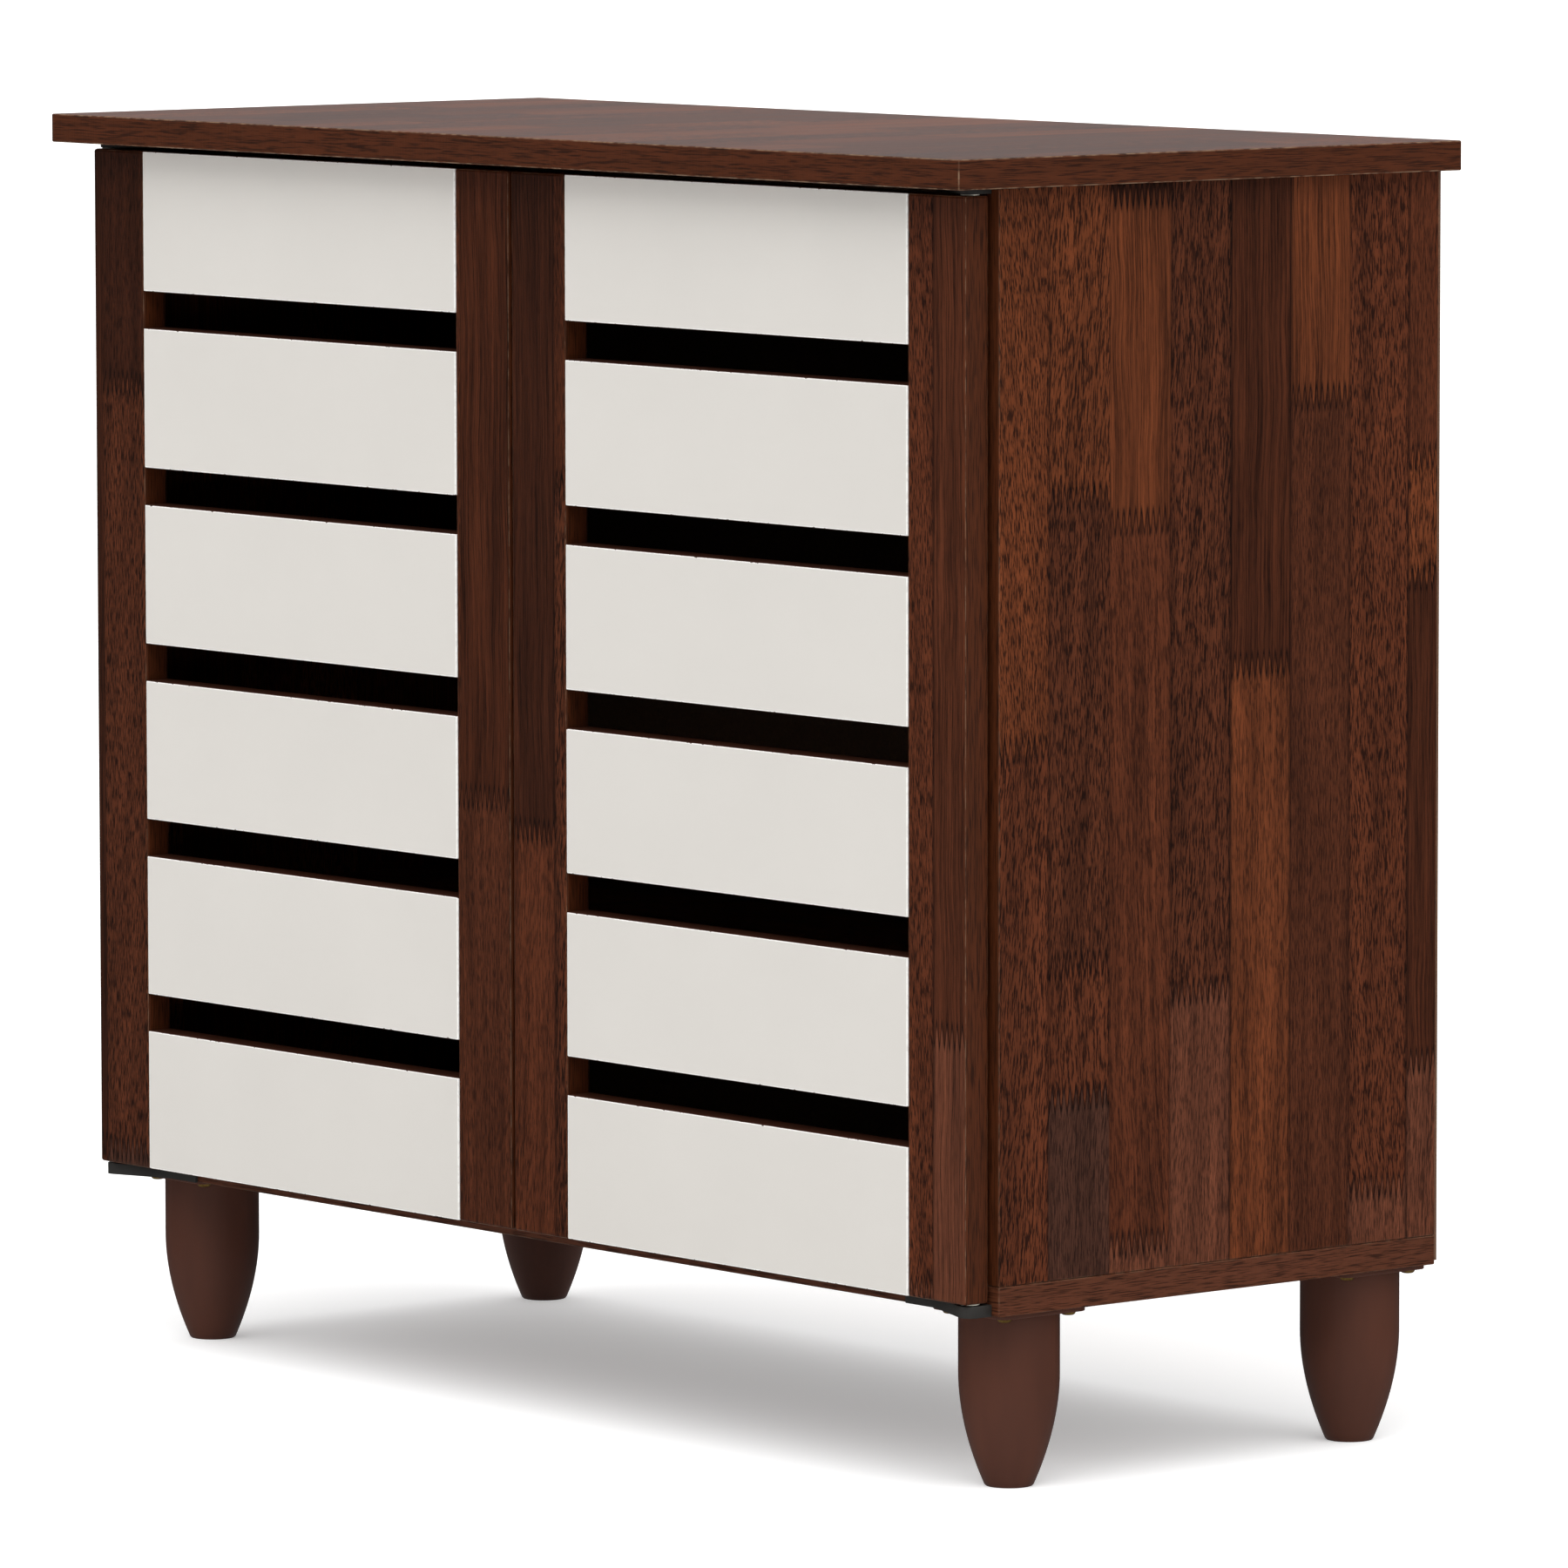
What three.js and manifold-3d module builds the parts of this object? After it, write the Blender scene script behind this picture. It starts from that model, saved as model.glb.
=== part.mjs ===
// Shoe cabinet with two slatted doors, on four turned legs.
// Millimetres, +Z up. X runs from left to right, Y from front to back.
// The origin is on the floor, under the middle of the top board.

import * as THREE from 'three';
import { RoundedBoxGeometry } from 'three/addons/geometries/RoundedBoxGeometry.js';
import { mergeVertices } from 'three/addons/utils/BufferGeometryUtils.js';
import Module from 'manifold-3d';

const wasm = await Module();
wasm.setup();

// ---------------------------------------------------------------- driving dimensions

const TOP_WIDTH = 790;
const TOP_DEPTH = 352;
const TOTAL_HEIGHT = 700;
const BOARD = 16;
const BOARD_EDGE = 0.8; // radius worn on a board's edges
const EDGE_STEPS = 1;

const CARCASS_WIDTH = 770;
const TOP_BACK_OVERHANG = 4;
const BACK_BOARD = 3;
const SIDE_DEPTH = 309;
const BACK_BOARD_INSET = 2;

const LEG_LENGTH = 93;
const LEG_PLATE = 3;
const LEG_PLATE_SIDE = 60;
const LEG_PLATE_CORNER = 6;
const LEG_SIDE_INSET = 36;
const LEG_FRONT_INSET = 38;
const LEG_BACK_INSET = 32;
const LEG_RADIUS = 26.8;
const LEG_FOOT_NARROWING = 14;
const LEG_TAPER_HEIGHT = 60;
const LEG_TAPER_POWER = 1.9;
const LEG_TAPER_STEPS = 6;
const LEG_STUD_RADIUS = 4;
const LEG_STUD_CLEARANCE = 0.4;
const LEG_SIDES = 28;

const DOOR_GAP = 2.2; // between the doors' backs and the carcass
const DOOR_CENTRE_GAP = 2.6;
const DOOR_SIDE_INSET = 5.5; // door edge to the outer face of the side panel
const DOOR_HEIGHT = 577;
const DOOR_TOP_GAP = 3.7;
const STILE_WIDTH = 46.5;
const STILE_EDGE = 1.5;
const SLATS = 6;
const SLAT_HEIGHT = 79;

const PIVOT_SIDE_INSET = 5.8; // pin axis to the door's outer edge
const PIVOT_BACK_INSET = BOARD / 2; // pin axis to the door's back face
const PIN_RADIUS = 2;
const PIN_REACH = 8; // length of pin inside the door
const PIN_SEAT = 0.3; // clearance between a pin and its hinge plate
const PIN_SEAT_FLOOR = 1; // plate left under the foot of an upper pin
const BUSH_RADIUS = 3.5;
const BUSH_BORE = 2.15;
const BUSH_LENGTH = 10;
const BUSH_CAP = 1; // thickness of its closed end
const BUSH_FLANGE_RADIUS = 5;
const BUSH_FLANGE = 0.4;
const BUSH_HOLE_CLEARANCE = 0.3;
const ROUND_SIDES = 16;

const LOWER_PLATE_THICKNESS = 6.3;
const PLATE_NOSE_RADIUS = 5.8;
const PLATE_FLANGE_LENGTH = 68;
const PLATE_FLANGE_THICKNESS = 1.8;
const PLATE_FLANGE_HEIGHT = 14;
const PLATE_ARM_REACH = 44; // where the slanted edge runs out along the flange
const UPPER_PLATE_THICKNESS = 3.1;
const UPPER_PLATE_WIDTH = 42;
const UPPER_PLATE_TAIL = 28; // how far the upper plate reaches back inside
const NOSE_STEPS = 6;

const SHELF_SETBACK = 20;
const SHELF_SIDE_GAP = 1.5;
const SHELF_BACK_GAP = 1;
const PIN_ROW_START = 34; // first pin hole above the bottom board
const PIN_ROW_PITCH = 32;
const SHELF_HOLES = { lower: 3, middle: 8, upper: 12 }; // hole number for each shelf
const PEG_RADIUS = 2.5;
const PEG_COLLAR_RADIUS = 4;
const PEG_COLLAR = 1.2;
const PEG_REACH = 7;
const PEG_DEPTH = 8;
const PEG_SIDES = 10;
const PEG_FRONT_INSET = 37; // from the front edge of the side panel
const PEG_BACK_INSET = 37;
const HOLE_CLEARANCE = 0.3;
const RESTING_GAP = 0.1;

const CATCH_WIDTH = 52;
const CATCH_HEIGHT = 15;
const CATCH_DEPTH = 22;
const CATCH_FACE_GAP = 0.3;
const STRIKE_SIDE = 13;
const STRIKE_THICKNESS = 1;
const STRIKE_OFFSET = 15; // strike centre to the middle of the cabinet
const STRIKE_DROP = 7.5; // strike centre below the door's top

// ---------------------------------------------------------------- places worked out from them

const TOP_UNDERSIDE = TOTAL_HEIGHT - BOARD;
const BOTTOM_UNDERSIDE = LEG_LENGTH + LEG_PLATE;
const BOTTOM_TOP = BOTTOM_UNDERSIDE + BOARD;
const CARCASS_BACK = TOP_DEPTH / 2 - TOP_BACK_OVERHANG - BACK_BOARD;
const CARCASS_FRONT = CARCASS_BACK - SIDE_DEPTH;
const SIDE_OUTER = CARCASS_WIDTH / 2;
const SIDE_INNER = SIDE_OUTER - BOARD;

const DOOR_BACK = CARCASS_FRONT - DOOR_GAP;
const DOOR_FRONT = DOOR_BACK - BOARD;
const DOOR_OUTER = SIDE_OUTER - DOOR_SIDE_INSET;
const DOOR_INNER = DOOR_CENTRE_GAP / 2;
const DOOR_TOP = TOP_UNDERSIDE - DOOR_TOP_GAP;
const DOOR_BOTTOM = DOOR_TOP - DOOR_HEIGHT;
const SLAT_LENGTH = DOOR_OUTER - DOOR_INNER - 2 * STILE_WIDTH;
const SLAT_PITCH = (DOOR_HEIGHT - SLAT_HEIGHT) / (SLATS - 1);

const PIVOT_X = DOOR_OUTER - PIVOT_SIDE_INSET;
const PIVOT_Y = DOOR_BACK - PIVOT_BACK_INSET;

const SIDES = { left: -1, right: 1 };
const ENDS = { front: -1, back: 1 };

// ---------------------------------------------------------------- materials

function finish(color, roughness, metalness = 0) {
  return new THREE.MeshStandardMaterial({ color, roughness, metalness });
}

const walnutBoard = () => finish(0x532b1c, 0.45);
const whiteBoard = () => finish(0xdcd9d4, 0.4);
const fibreBoard = () => finish(0x6b4a33, 0.8);
const legPlastic = () => finish(0x543127, 0.4);
const hingePlastic = () => finish(0x2e2d2b, 0.55);
const bushPlastic = () => finish(0xd8d4c8, 0.5);
const steel = () => finish(0xb4b2ac, 0.35, 1);

// ---------------------------------------------------------------- solids

function closed(geometry) {
  const bare = geometry.index ? geometry.toNonIndexed() : geometry.clone();
  bare.deleteAttribute('normal');
  bare.deleteAttribute('uv');
  bare.clearGroups();
  return mergeVertices(bare, 1e-4);
}

function toManifold(geometry) {
  const merged = closed(geometry);
  return new wasm.Manifold(new wasm.Mesh({
    numProp: 3,
    vertProperties: new Float32Array(merged.attributes.position.array),
    triVerts: new Uint32Array(merged.index.array),
  }));
}

function fromManifold(body) {
  const mesh = body.getMesh();
  const geometry = new THREE.BufferGeometry();
  geometry.setAttribute('position', new THREE.BufferAttribute(mesh.vertProperties, mesh.numProp));
  geometry.setIndex(new THREE.BufferAttribute(mesh.triVerts, 1));
  geometry.computeVertexNormals();
  return geometry;
}

function cut(geometry, tools) {
  const body = tools.reduce((rest, tool) => rest.subtract(toManifold(tool)), toManifold(geometry));
  return fromManifold(body);
}

function join(first, second) {
  return fromManifold(toManifold(first).add(toManifold(second)));
}

// A box with softened edges that fills the space between two opposite corners.
function softBox(low, high, radius = BOARD_EDGE) {
  const size = high.map((value, axis) => value - low[axis]);
  const middle = high.map((value, axis) => (value + low[axis]) / 2);
  return new RoundedBoxGeometry(...size, EDGE_STEPS, radius).translate(...middle);
}

function plainBox(low, high) {
  const size = high.map((value, axis) => value - low[axis]);
  const middle = high.map((value, axis) => (value + low[axis]) / 2);
  return new THREE.BoxGeometry(...size).translate(...middle);
}

// A revolved solid standing on z = 0, from a profile of [radius, height] points.
function turned(profile, sides) {
  const points = profile.map(([radius, height]) => new THREE.Vector2(radius, height));
  return new THREE.LatheGeometry(points, sides).rotateX(Math.PI / 2);
}

// A slab of the given outline, from z = 0 up to its thickness.
function slab(outline, thickness, curveSegments = NOSE_STEPS) {
  return new THREE.ExtrudeGeometry(outline, { depth: thickness, bevelEnabled: false, curveSegments });
}

// Mirrors a right-hand shape to the left side of the cabinet.
function onSide(geometry, side) {
  if (side > 0) {
    return geometry;
  }
  const mirrored = closed(geometry).scale(-1, 1, 1);
  const index = mirrored.index;
  for (let i = 0; i < index.count; i += 3) {
    const swap = index.getX(i);
    index.setX(i, index.getX(i + 1));
    index.setX(i + 1, swap);
  }
  mirrored.computeVertexNormals();
  return mirrored;
}

const cabinet = new THREE.Group();
const doors = {
  left: new THREE.Group(),
  right: new THREE.Group(),
};
cabinet.add(doors.left, doors.right);

function addPart(name, geometry, material, parent = cabinet) {
  const mesh = new THREE.Mesh(geometry, material);
  mesh.name = name;
  parent.add(mesh);
  return mesh;
}

// ---------------------------------------------------------------- carcass

function topPanel() {
  const halfWidth = TOP_WIDTH / 2;
  const halfDepth = TOP_DEPTH / 2;
  return softBox([-halfWidth, -halfDepth, TOP_UNDERSIDE], [halfWidth, halfDepth, TOTAL_HEIGHT]);
}

function bottomPanel() {
  return softBox([-SIDE_OUTER, CARCASS_FRONT, BOTTOM_UNDERSIDE], [SIDE_OUTER, CARCASS_BACK, BOTTOM_TOP]);
}

function pegHeight(shelf) {
  return BOTTOM_TOP + PIN_ROW_START + SHELF_HOLES[shelf] * PIN_ROW_PITCH - PEG_RADIUS - RESTING_GAP;
}

function pegDepth(end) {
  return end < 0 ? CARCASS_FRONT + PEG_FRONT_INSET : CARCASS_BACK - PEG_BACK_INSET;
}

function sidePanel(side) {
  const board = softBox([SIDE_INNER, CARCASS_FRONT, BOTTOM_TOP], [SIDE_OUTER, CARCASS_BACK, TOP_UNDERSIDE]);
  const radius = PEG_RADIUS + HOLE_CLEARANCE;
  const length = 2 * (PEG_DEPTH + HOLE_CLEARANCE);
  const holes = [];
  for (const shelf of Object.keys(SHELF_HOLES)) {
    for (const end of Object.values(ENDS)) {
      const hole = new THREE.CylinderGeometry(radius, radius, length, PEG_SIDES).rotateZ(Math.PI / 2);
      holes.push(hole.translate(SIDE_INNER, pegDepth(end), pegHeight(shelf)));
    }
  }
  return onSide(cut(board, holes), side);
}

function backPanel() {
  const halfWidth = SIDE_OUTER - BACK_BOARD_INSET;
  return plainBox(
    [-halfWidth, CARCASS_BACK, BOTTOM_UNDERSIDE + BACK_BOARD_INSET],
    [halfWidth, CARCASS_BACK + BACK_BOARD, TOP_UNDERSIDE - HOLE_CLEARANCE],
  );
}

addPart('top_panel', topPanel(), walnutBoard());
addPart('bottom_panel', bottomPanel(), walnutBoard());
addPart('back_panel', backPanel(), fibreBoard());
for (const [sideName, side] of Object.entries(SIDES)) {
  addPart(`side_panel_${sideName}`, sidePanel(side), walnutBoard());
}

// ---------------------------------------------------------------- shelves on pegs

function shelf(shelfName) {
  const underside = pegHeight(shelfName) + PEG_RADIUS + RESTING_GAP;
  const halfWidth = SIDE_INNER - SHELF_SIDE_GAP;
  return softBox(
    [-halfWidth, CARCASS_FRONT + SHELF_SETBACK, underside],
    [halfWidth, CARCASS_BACK - SHELF_BACK_GAP, underside + BOARD],
  );
}

// A collared peg that lies along +X, its collar against the side panel at x = 0.
function shelfPeg() {
  const profile = [
    [0, -PEG_DEPTH],
    [PEG_RADIUS, -PEG_DEPTH],
    [PEG_RADIUS, 0],
    [PEG_COLLAR_RADIUS, 0],
    [PEG_COLLAR_RADIUS, PEG_COLLAR],
    [PEG_RADIUS, PEG_COLLAR],
    [PEG_RADIUS, PEG_COLLAR + PEG_REACH],
    [0, PEG_COLLAR + PEG_REACH],
  ];
  return turned(profile, PEG_SIDES).rotateY(Math.PI / 2);
}

for (const shelfName of Object.keys(SHELF_HOLES)) {
  addPart(`shelf_${shelfName}`, shelf(shelfName), walnutBoard());
  for (const [endName, end] of Object.entries(ENDS)) {
    for (const [sideName, side] of Object.entries(SIDES)) {
      const peg = addPart(`shelf_peg_${shelfName}_${endName}_${sideName}`, shelfPeg(), steel());
      peg.rotation.z = side > 0 ? Math.PI : 0;
      peg.position.set(side * (SIDE_INNER - RESTING_GAP), pegDepth(end), pegHeight(shelfName));
    }
  }
}

// ---------------------------------------------------------------- legs

function legPlate() {
  const half = LEG_PLATE_SIDE / 2;
  const inner = half - LEG_PLATE_CORNER;
  const outline = new THREE.Shape();
  outline.absarc(inner, inner, LEG_PLATE_CORNER, 0, Math.PI / 2);
  outline.absarc(-inner, inner, LEG_PLATE_CORNER, Math.PI / 2, Math.PI);
  outline.absarc(-inner, -inner, LEG_PLATE_CORNER, Math.PI, 1.5 * Math.PI);
  outline.absarc(inner, -inner, LEG_PLATE_CORNER, 1.5 * Math.PI, 2 * Math.PI);
  const hole = new THREE.Path();
  hole.absarc(0, 0, LEG_STUD_RADIUS + LEG_STUD_CLEARANCE, 0, 2 * Math.PI, true);
  outline.holes.push(hole);
  return slab(outline, LEG_PLATE, ROUND_SIDES / 4).translate(0, 0, LEG_LENGTH);
}

function legRadius(height) {
  const below = Math.max(0, 1 - height / LEG_TAPER_HEIGHT);
  return LEG_RADIUS - LEG_FOOT_NARROWING * below ** LEG_TAPER_POWER;
}

function leg() {
  const profile = [[0, 0]];
  for (let step = 0; step <= LEG_TAPER_STEPS; step += 1) {
    const height = (LEG_TAPER_HEIGHT * step) / LEG_TAPER_STEPS;
    profile.push([legRadius(height), height]);
  }
  profile.push([LEG_RADIUS, LEG_LENGTH]);
  profile.push([LEG_STUD_RADIUS, LEG_LENGTH]);
  profile.push([LEG_STUD_RADIUS, LEG_LENGTH + LEG_PLATE - RESTING_GAP]);
  profile.push([0, LEG_LENGTH + LEG_PLATE - RESTING_GAP]);
  return turned(profile, LEG_SIDES);
}

for (const [endName, end] of Object.entries(ENDS)) {
  const depth = end < 0 ? CARCASS_FRONT + LEG_FRONT_INSET : CARCASS_BACK + BACK_BOARD - LEG_BACK_INSET;
  for (const [sideName, side] of Object.entries(SIDES)) {
    const across = side * (SIDE_OUTER - LEG_SIDE_INSET);
    addPart(`leg_plate_${endName}_${sideName}`, legPlate(), legPlastic()).position.set(across, depth, 0);
    addPart(`leg_${endName}_${sideName}`, leg(), legPlastic()).position.set(across, depth, 0);
  }
}

// ---------------------------------------------------------------- doors

function stile(side, near, far, withBushes) {
  const board = softBox([near, DOOR_FRONT, DOOR_BOTTOM], [far, DOOR_BACK, DOOR_TOP], STILE_EDGE);
  if (!withBushes) {
    return onSide(board, side);
  }
  const radius = BUSH_RADIUS + BUSH_HOLE_CLEARANCE;
  const length = 2 * (BUSH_LENGTH + BUSH_HOLE_CLEARANCE);
  const holes = [DOOR_BOTTOM, DOOR_TOP].map((height) => {
    const hole = new THREE.CylinderGeometry(radius, radius, length, ROUND_SIDES).rotateX(Math.PI / 2);
    return hole.translate(PIVOT_X, PIVOT_Y, height);
  });
  return onSide(cut(board, holes), side);
}

function slat(side, index) {
  const top = DOOR_TOP - index * SLAT_PITCH;
  const near = DOOR_INNER + STILE_WIDTH;
  const low = [near, DOOR_FRONT, top - SLAT_HEIGHT];
  return onSide(softBox(low, [near + SLAT_LENGTH, DOOR_BACK, top]), side);
}

// A flanged cup that lines a hole; its mouth is at z = 0 and its flange lies below that.
function bush() {
  return turned([
    [0, BUSH_LENGTH - BUSH_CAP],
    [BUSH_BORE, BUSH_LENGTH - BUSH_CAP],
    [BUSH_BORE, -BUSH_FLANGE],
    [BUSH_FLANGE_RADIUS, -BUSH_FLANGE],
    [BUSH_FLANGE_RADIUS, 0],
    [BUSH_RADIUS, 0],
    [BUSH_RADIUS, BUSH_LENGTH],
    [0, BUSH_LENGTH],
  ], ROUND_SIDES);
}

function strikePlate(side) {
  const half = STRIKE_SIDE / 2;
  const height = DOOR_TOP - STRIKE_DROP;
  return onSide(softBox(
    [STRIKE_OFFSET - half, DOOR_BACK, height - half],
    [STRIKE_OFFSET + half, DOOR_BACK + STRIKE_THICKNESS, height + half],
    STRIKE_THICKNESS / 4,
  ), side);
}

for (const [sideName, side] of Object.entries(SIDES)) {
  const door = doors[sideName];
  const outerEdge = DOOR_OUTER - STILE_WIDTH;
  addPart(`door_${sideName}_stile_outer`, stile(side, outerEdge, DOOR_OUTER, true), walnutBoard(), door);
  addPart(
    `door_${sideName}_stile_inner`,
    stile(side, DOOR_INNER, DOOR_INNER + STILE_WIDTH, false),
    walnutBoard(),
    door,
  );
  for (let index = 0; index < SLATS; index += 1) {
    addPart(`door_${sideName}_slat_${index + 1}`, slat(side, index), whiteBoard(), door);
  }
  const lower = addPart(`door_${sideName}_bush_bottom`, bush(), bushPlastic(), door);
  lower.position.set(side * PIVOT_X, PIVOT_Y, DOOR_BOTTOM);
  const upper = addPart(`door_${sideName}_bush_top`, bush(), bushPlastic(), door);
  upper.position.set(side * PIVOT_X, PIVOT_Y, DOOR_TOP);
  upper.rotation.x = Math.PI;
  addPart(`door_${sideName}_strike`, strikePlate(side), steel(), door);
}

// ---------------------------------------------------------------- pivot hinges

// The corner of a plate that runs round the pin, from the outer side to the slanted edge.
function plateNose(outline, slantEnd) {
  const away = Math.hypot(slantEnd[0] - PIVOT_X, slantEnd[1] - PIVOT_Y);
  const towards = Math.atan2(slantEnd[1] - PIVOT_Y, slantEnd[0] - PIVOT_X);
  const tangent = towards + Math.acos(PLATE_NOSE_RADIUS / away);
  outline.absarc(PIVOT_X, PIVOT_Y, PLATE_NOSE_RADIUS, 2 * Math.PI, tangent, true);
  outline.lineTo(...slantEnd);
}

function pinSeat(low, high) {
  const radius = PIN_RADIUS + PIN_SEAT;
  const seat = new THREE.CylinderGeometry(radius, radius, high - low, ROUND_SIDES).rotateX(Math.PI / 2);
  return seat.translate(PIVOT_X, PIVOT_Y, (low + high) / 2);
}

function lowerHingePlate(side) {
  const flangeFront = CARCASS_FRONT - PLATE_FLANGE_THICKNESS;
  const flangeEnd = DOOR_OUTER - PLATE_FLANGE_LENGTH;
  const outline = new THREE.Shape();
  outline.moveTo(flangeEnd, CARCASS_FRONT);
  outline.lineTo(PIVOT_X + PLATE_NOSE_RADIUS, CARCASS_FRONT);
  plateNose(outline, [DOOR_OUTER - PLATE_ARM_REACH, flangeFront]);
  outline.lineTo(flangeEnd, flangeFront);
  const arm = slab(outline, LOWER_PLATE_THICKNESS).translate(0, 0, BOTTOM_UNDERSIDE);
  const flange = plainBox(
    [flangeEnd, flangeFront, BOTTOM_UNDERSIDE],
    [DOOR_OUTER - 2 * PLATE_NOSE_RADIUS, CARCASS_FRONT, BOTTOM_UNDERSIDE + PLATE_FLANGE_HEIGHT],
  );
  const top = BOTTOM_UNDERSIDE + LOWER_PLATE_THICKNESS;
  const seat = pinSeat(BOTTOM_UNDERSIDE + PLATE_FLANGE_THICKNESS, top + PIN_SEAT_FLOOR);
  return onSide(cut(join(arm, flange), [seat]), side);
}

function upperHingePlate(side) {
  const tail = SIDE_INNER - SHELF_SIDE_GAP;
  const inner = DOOR_OUTER - UPPER_PLATE_WIDTH;
  const clearOfSide = CARCASS_FRONT - HOLE_CLEARANCE;
  const outline = new THREE.Shape();
  outline.moveTo(tail, CARCASS_FRONT + UPPER_PLATE_TAIL);
  outline.lineTo(tail, clearOfSide);
  outline.lineTo(PIVOT_X + PLATE_NOSE_RADIUS, clearOfSide);
  plateNose(outline, [inner, CARCASS_FRONT - PLATE_FLANGE_THICKNESS]);
  outline.lineTo(inner, CARCASS_FRONT + UPPER_PLATE_TAIL);
  const bottom = TOP_UNDERSIDE - UPPER_PLATE_THICKNESS;
  const plate = slab(outline, UPPER_PLATE_THICKNESS).translate(0, 0, bottom);
  const seat = pinSeat(bottom - PIN_SEAT_FLOOR, TOP_UNDERSIDE - PIN_SEAT_FLOOR);
  return onSide(cut(plate, [seat]), side);
}

// A plain steel pin with a small chamfer, from z = 0 up.
function hingePin(length) {
  const chamfer = PIN_RADIUS / 4;
  return turned([
    [0, 0],
    [PIN_RADIUS, 0],
    [PIN_RADIUS, length - chamfer],
    [PIN_RADIUS - chamfer, length],
    [0, length],
  ], ROUND_SIDES);
}

for (const [sideName, side] of Object.entries(SIDES)) {
  addPart(`hinge_plate_bottom_${sideName}`, lowerHingePlate(side), hingePlastic());
  addPart(`hinge_plate_top_${sideName}`, upperHingePlate(side), hingePlastic());
  const foot = BOTTOM_UNDERSIDE + PLATE_FLANGE_THICKNESS + RESTING_GAP;
  const lower = addPart(`hinge_pin_bottom_${sideName}`, hingePin(DOOR_BOTTOM + PIN_REACH - foot), steel());
  lower.position.set(side * PIVOT_X, PIVOT_Y, foot);
  const head = TOP_UNDERSIDE - PIN_SEAT_FLOOR - RESTING_GAP;
  const upper = addPart(`hinge_pin_top_${sideName}`, hingePin(head - DOOR_TOP + PIN_REACH), steel());
  upper.position.set(side * PIVOT_X, PIVOT_Y, head);
  upper.rotation.x = Math.PI;
}

// ---------------------------------------------------------------- magnetic catch for both doors

function magneticCatch() {
  const face = DOOR_BACK + STRIKE_THICKNESS + CATCH_FACE_GAP;
  return softBox(
    [-CATCH_WIDTH / 2, face, TOP_UNDERSIDE - CATCH_HEIGHT],
    [CATCH_WIDTH / 2, face + CATCH_DEPTH, TOP_UNDERSIDE],
  );
}

addPart('magnetic_catch', magneticCatch(), hingePlastic());

export default cabinet;
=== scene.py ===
"""A hallway shoe cabinet: finger-jointed walnut print, white slatted doors and turned legs.

Metres, +Z up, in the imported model's frame. Sizes in millimetres carry MM.
"""

import math

import bpy
from mathutils import Matrix, Quaternion, Vector


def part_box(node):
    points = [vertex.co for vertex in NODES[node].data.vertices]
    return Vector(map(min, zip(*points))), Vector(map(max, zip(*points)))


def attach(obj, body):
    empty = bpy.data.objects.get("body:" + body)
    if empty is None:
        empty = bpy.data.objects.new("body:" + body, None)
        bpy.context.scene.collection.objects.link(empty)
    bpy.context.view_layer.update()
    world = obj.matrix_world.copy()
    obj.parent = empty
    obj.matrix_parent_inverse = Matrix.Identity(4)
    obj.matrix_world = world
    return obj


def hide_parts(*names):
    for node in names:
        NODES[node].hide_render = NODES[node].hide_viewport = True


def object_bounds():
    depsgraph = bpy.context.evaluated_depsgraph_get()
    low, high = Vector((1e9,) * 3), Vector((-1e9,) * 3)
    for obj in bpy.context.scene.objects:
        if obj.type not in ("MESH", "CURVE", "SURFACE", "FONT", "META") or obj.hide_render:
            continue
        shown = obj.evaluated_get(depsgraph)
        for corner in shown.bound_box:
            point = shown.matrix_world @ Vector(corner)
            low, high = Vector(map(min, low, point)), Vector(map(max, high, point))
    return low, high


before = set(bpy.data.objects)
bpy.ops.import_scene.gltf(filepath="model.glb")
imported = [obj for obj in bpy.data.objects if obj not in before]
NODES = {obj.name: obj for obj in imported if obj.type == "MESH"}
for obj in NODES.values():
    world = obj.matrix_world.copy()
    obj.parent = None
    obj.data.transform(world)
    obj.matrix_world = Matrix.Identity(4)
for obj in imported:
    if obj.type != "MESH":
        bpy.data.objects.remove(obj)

MM = 0.001
SIDES = {"left": -1, "right": 1}
ENDS = ("front", "back")
SHELVES = ("lower", "middle", "upper")
SLATS = range(1, 7)

CAD_BOX = [list(corner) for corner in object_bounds()]
MODEL_LOW = Vector(CAD_BOX[0])
MODEL_HIGH = Vector(CAD_BOX[1])

# ---------------------------------------------------------------- camera

VIEW_AZIMUTH = 50.388  # degrees round from the front
VIEW_ELEVATION = 5.637
VIEW_ROLL = -0.085
VIEW_DISTANCE = 6.333
VIEW_AIM = Vector((16.7, 20.2, -12.6)) * MM  # from the middle of the cabinet
VIEW_LENS = 263.47
VIEW_SENSOR = 36.0


def make_camera():
    azimuth = math.radians(VIEW_AZIMUTH)
    elevation = math.radians(VIEW_ELEVATION)
    back = Vector((
        math.sin(azimuth) * math.cos(elevation),
        -math.cos(azimuth) * math.cos(elevation),
        math.sin(elevation),
    ))
    data = bpy.data.cameras.new("studio_camera")
    data.lens = VIEW_LENS
    data.sensor_width = VIEW_SENSOR
    data.clip_start = 0.1
    data.clip_end = 200
    camera = bpy.data.objects.new("studio_camera", data)
    bpy.context.scene.collection.objects.link(camera)
    camera.location = (MODEL_LOW + MODEL_HIGH) / 2 + VIEW_AIM + back * VIEW_DISTANCE
    camera.rotation_mode = "QUATERNION"
    roll = Quaternion((0, 0, 1), math.radians(VIEW_ROLL))
    camera.rotation_quaternion = (-back).to_track_quat("-Z", "Y") @ roll
    bpy.context.scene.camera = camera


# ---------------------------------------------------------------- colours and nodes


def linear(colour):
    """An sRGB hex colour as linear red, green, blue and alpha."""
    parts = [int(colour[start:start + 2], 16) / 255 for start in (1, 3, 5)]
    return [p / 12.92 if p <= 0.04045 else ((p + 0.055) / 1.055) ** 2.4 for p in parts] + [1.0]


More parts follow.
